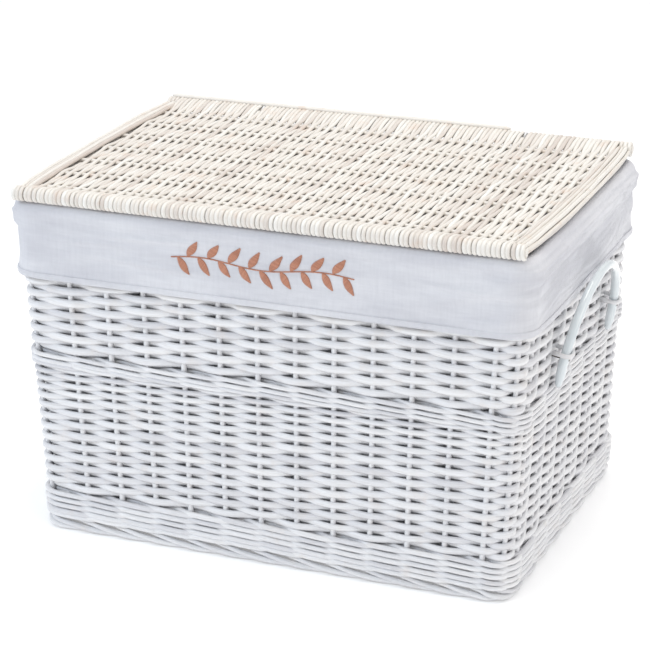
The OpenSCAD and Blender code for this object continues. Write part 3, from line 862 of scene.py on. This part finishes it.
def lid_ends():
    """A bundle of rods along each end of the lid, and strands that close the ends of the rolls."""
    for side, name in ((1, "right"), (-1, "left")):
        s = Strands(f"lid_{name}_edge")
        y = np.linspace(-FIELD_Y - 3, FIELD_Y + 3, 90)
        near_corner = np.clip(abs(y) / FIELD_Y - 0.82, 0, 1)
        out = 5.0 * (1 - (y / FIELD_Y) ** 2) - 10.0 * near_corner ** 1.5 / 0.18 ** 0.5
        for i in range(4):
            for v in (-1, 1):
                x = side * (LID_END - 3.2 - i * 4.5 + out) + 0.5 * random_wave(y / 70)
                z = LID_Z + v * (4.3 - 0.9 * (i % 2)) + 0.9 * random_wave(y / 34)
                s.add(np.stack([x, y, z], -1), UP, 2.5, 2.3, rng.beta(2.0, 1.6), taper=(8, 8))
        x = side * (LID_END - 0.6 + out)
        s.add(np.stack([x, y, LID_Z + 0.4 * wave(y / 40, 43, 2)], -1), UP, 2.5, 2.3, 0.6, taper=(8, 8))
        a = np.radians(np.linspace(-90, 270, 26))
        skew = np.linspace(-0.8, 0.8, 26) * side
        up = np.stack([np.zeros(26), np.cos(a), np.sin(a)], -1)
        for front_or_back in (-1, 1):
            for i in range(3):
                x = side * (FIELD_X + 2.8 + i * 4.9)
                y_ring = front_or_back * ROLL_Y + WRAP_R * np.cos(a)
                path = np.stack([x + skew, y_ring, LID_Z + WRAP_R * np.sin(a)], -1)
                s.add(path, up, WRAP_HALF * 0.97, 2.45, rng.beta(2.4, 1.6))
        s.build(lid_willow, "lid", [f"lid_{name}_end"])


def lid_splice():
    """The spare rod laid along the back roll."""
    lo, hi = low("lid_splice_rod"), high("lid_splice_rod")
    s = Strands("lid_back_splice", 12)
    x = np.linspace(lo[0], hi[0], 80)
    y = (lo[1] + hi[1]) / 2 + 0.2 * wave(x / 50, 51, 2)
    z = (lo[2] + hi[2]) / 2 - 0.8 + 0.2 * wave(x / 60, 52, 2)
    s.add(np.stack([x, y, z], -1), UP, 2.6, 2.6, 0.7, taper=(3, 0.6))
    s.build(lid_willow, "lid", ["lid_splice_rod"])


# ---------------------------------------------------------------- handles
BOW_R = 95.0             # radius of the arch, to the middle of the rod
BOW_D = 10.6
BOW_FOOT = 221.0         # height of the bow's feet above the floor
BOW_LEG = 16.0           # straight part below the arch
BOW_TIP = 14.0           # length over which the ends thin out
BOW_GAP = 0.7            # between the bow and the wall at its feet
BOW_LEAN = 8.0           # degrees away from the wall
BINDING_D = 4.6
BINDING_RISE = 25.0      # of a binding above the straight part


def on_wall(side, pts):
    """Points drawn for the right wall: x outwards from its face at the bow's foot, z up along the lean."""
    lean = math.atan(SLOPE_X) + math.radians(BOW_LEAN)
    x = pts[:, 0] * math.cos(lean) + pts[:, 2] * math.sin(lean) + half_x(BOW_FOOT)
    z = -pts[:, 0] * math.sin(lean) + pts[:, 2] * math.cos(lean) + BOW_FOOT
    return np.stack([x * side, pts[:, 1] * side, z], -1)


def handles():
    """An arched rod on each end wall, with a binding near each foot."""
    for side, name in ((1, "right"), (-1, "left")):
        x0 = BOW_D / 2 + BOW_GAP
        legs = np.linspace(0, BOW_LEG, 12)
        a = np.linspace(0, np.pi, 60)[1:-1]
        pts = np.concatenate([
            np.stack([np.full(12, x0), np.full(12, BOW_R), legs], -1),
            np.stack([np.full(58, x0), BOW_R * np.cos(a), BOW_LEG + BOW_R * np.sin(a)], -1),
            np.stack([np.full(12, x0), np.full(12, -BOW_R), legs[::-1]], -1)])
        run = np.concatenate([[0], np.cumsum(np.linalg.norm(np.diff(pts, axis=0), axis=1))])
        near = np.minimum(run, run[-1] - run)
        share = 0.55 + 0.45 * np.clip(near / BOW_TIP, 0, 1) ** 0.8
        r = BOW_D / 2 * share * (1 + 0.015 * wave(run / 30, 61, 2))
        s = Strands(name + "_bow", 20)
        up = on_wall(side, pts + np.array([1.0, 0, 0])) - on_wall(side, pts)
        s.add(on_wall(side, pts), up, r, r, 0.5, taper=(3, 3))
        s.build(bow_gloss, "trunk", [name + "_handle"])
        b = Strands(name + "_bow_bindings", 10)
        inwards = BOW_R - math.sqrt(BOW_R ** 2 - BINDING_RISE ** 2)
        height = BOW_LEG + BINDING_RISE
        reach = BOW_D / 2 + BINDING_D / 2 + 0.2
        a = np.linspace(-np.pi / 2 - 0.1, np.pi / 2 + 0.1, 24)
        tail = np.array([[-height * math.tan(math.radians(BOW_LEAN)) - 7.0, 0, 0.0]])
        for leg in (-1, 1):
            y = leg * (BOW_R - inwards)
            p = np.stack([x0 + reach * np.cos(a), y + reach * np.sin(a), height + 1.2 * np.sin(a)], -1)
            p = np.concatenate([p[:1] + tail, p, p[-1:] + tail])
            out = p - np.array([x0, y, height])
            up = on_wall(side, p + out) - on_wall(side, p)
            b.add(on_wall(side, p), up, BINDING_D / 2, BINDING_D / 2 + 0.3, 0.7)
        b.build(willow, "trunk", [name + "_handle_bindings"])


# ---------------------------------------------------------------- embroidery
def sprig():
    """A leafy sprig: satin stitches side by side across each leaf, and a stem of back stitches."""
    s = Strands("embroidered_sprig", 6)
    lo, hi = low("embroidery"), high("embroidery")
    z_mid = (lo[2] + hi[2]) / 2
    length = hi[0] - lo[0] - 4

    def stitch(x0, z0, x1, z1, r, tint, arch=0.7):
        """One thread on the cuff, arched between its two ends."""
        t = np.linspace(0, 1, 7)
        x, z = x0 + (x1 - x0) * t, z0 + (z1 - z0) * t
        q = ((x / (half_x(z_mid) - CORNER)) + 1) / 2
        lift = 0.1 + arch * np.sin(np.pi * t)
        p, n = wall(q, z, ROLL_R + CLOTH + cuff_wave(q, BORDER_Z - z) + lift)
        s.add(p, n, r * 0.8, r, tint)

    def stem(t):
        """The place at a share t of the sprig's length."""
        return lo[0] + 2 + length * t, z_mid + 3.2 * math.sin(t * 2 * math.pi * 1.5)

    back_stitches, leaves, leaf_stitches = 38, 17, 19
    for i in range(back_stitches):
        (x0, z0), (x1, z1) = stem(i / back_stitches), stem((i + 1.12) / back_stitches)
        stitch(x0, z0, x1, z1, 0.8, rng.uniform(0, 0.6), 0.4)
    for i in range(leaves):
        x, z = stem((i + 0.6) / (leaves + 0.6))
        lean = math.radians(54 if i % 2 else -54) + rng.uniform(-0.08, 0.08)
        leaf_length = 22.5 * rng.uniform(0.9, 1.05)
        dx, dz = math.cos(lean), math.sin(lean)
        for k in range(leaf_stitches):
            v = (k + 0.5) / leaf_stitches
            w = 4.0 * math.sin(math.pi * v ** 0.85) + 0.35
            cx, cz = x + dx * (1.4 + leaf_length * v), z + dz * (1.4 + leaf_length * v)
            # the stitches slant back towards the stem on one side of the leaf
            back = 0.5 * w
            stitch(cx - dz * w - dx * back, cz + dx * w - dz * back,
                   cx + dz * w + dx * back * 0.2, cz - dx * w + dz * back * 0.2,
                   0.72, 0.35 + 0.5 * rng.random())
    s.build(thread, "trunk", ["embroidery"])


LOWER_NODES = [side + "_lower_weave" for side in SIDES]
UPPER_NODES = [side + "_upper_weave" for side in SIDES]
WAIST_NODES = [side + "_waist_wale" for side in SIDES]
randing("lower_weavers", WALE_TOP, WAIST_0, 25, squeeze=0.42, replaced=LOWER_NODES, **LOWER)
randing("upper_weavers", WAIST_1, WALL_TOP, 22, squeeze=0.0, replaced=UPPER_NODES, **UPPER)
waling("foot_wale_rods", FOOT_TOP, WALE_TOP, 5, 3.3, 1.1, 5.6, ["bottom_wale"])
waling("waist_wale_rods", WAIST_0, WAIST_1, 3, 2.6, 1.3, 5.8, WAIST_NODES)
uprights()
foot()
base()
cuff()
bag()
lid_rods()
lid_field()
lid_ends()
lid_splice()
for node in ("lid_front_rod", "lid_back_rod"):
    give(node, lid_cad)
handles()
give("handle_nails", nail)
sprig()
for node in [side + "_border" for side in SIDES] + ["left_hinge_loop", "right_hinge_loop"]:
    give(node, willow_cad)


# ---------------------------------------------------------------- floor, light and camera
FLOOR_HALF = 6           # metres


def studio():
    """A white floor, an even world and three soft lights."""
    m, t, bsdf = nodes_of("floor_paper")
    bsdf.inputs["Base Color"].default_value = (0.93, 0.93, 0.93, 1)
    bsdf.inputs["Emission Color"].default_value = (1, 1, 1, 1)
    bsdf.inputs["Emission Strength"].default_value = 0.2
    bsdf.inputs["Roughness"].default_value = 0.9
    mesh = bpy.data.meshes.new("floor")
    corners = [(x * FLOOR_HALF, y * FLOOR_HALF, 0) for x, y in ((-1, -1), (1, -1), (1, 1), (-1, 1))]
    mesh.from_pydata(corners, [], [(0, 1, 2, 3)])
    floor = bpy.data.objects.new("floor", mesh)
    bpy.context.scene.collection.objects.link(floor)
    floor.data.materials.append(m)
    world = bpy.data.worlds.new("studio")
    bpy.context.scene.world = world
    world.use_nodes = True
    background = next(n for n in world.node_tree.nodes if n.type == "BACKGROUND")
    background.inputs[0].default_value = (0.97, 0.98, 1.0, 1)
    background.inputs[1].default_value = 0.8

    def area(name, at, to, size, power, colour):
        light = bpy.data.lights.new(name, "AREA")
        light.shape, light.size, light.size_y = "RECTANGLE", size[0], size[1]
        light.energy, light.color = power, colour
        obj = bpy.data.objects.new(name, light)
        bpy.context.scene.collection.objects.link(obj)
        direction = Vector(at) - Vector(to)
        obj.location = at
        obj.rotation_mode = "QUATERNION"
        obj.rotation_quaternion = direction.to_track_quat("Z", "Y")

    area("key_top", at=(0.2, 0.1, 2.6), to=(0, 0, 0.3), size=(1.4, 1.2), power=24, colour=(1.0, 0.95, 0.88))
    area("front_soft", at=(-2.1, -2.0, 2.1), to=(0, 0, 0.2), size=(0.9, 0.8), power=22,
         colour=(0.66, 0.82, 1.0))
    area("right_soft", at=(2.6, -0.4, 1.2), to=(0.2, 0, 0.2), size=(1.0, 0.9), power=6,
         colour=(1.0, 0.93, 0.84))
    bpy.context.scene.view_settings.view_transform = "Standard"


def camera():
    """A long lens, above and to the right of the front, rolled slightly."""
    azimuth, elevation, roll = math.radians(22.735), math.radians(20.600), math.radians(-0.766)
    distance, target = 2.873473, np.array([-0.008926, 0.0, 0.217638])
    level = math.cos(elevation)
    back = np.array([math.sin(azimuth) * level, -math.cos(azimuth) * level, math.sin(elevation)])
    right = np.array([math.cos(azimuth), math.sin(azimuth), 0.0])
    up = np.cross(back, right)
    c, s = math.cos(roll), math.sin(roll)
    right, up = right * c + up * s, up * c - right * s
    data = bpy.data.cameras.new("camera")
    data.sensor_width = 36
    data.lens = 135.666
    data.clip_start, data.clip_end = 0.1, 30
    obj = bpy.data.objects.new("camera", data)
    m = Matrix.Identity(4)
    at = target + back * distance
    for column, values in enumerate((right, up, back, at)):
        for row in range(3):
            m[row][column] = values[row]
    obj.matrix_world = m
    bpy.context.scene.collection.objects.link(obj)
    bpy.context.scene.camera = obj


studio()
camera()
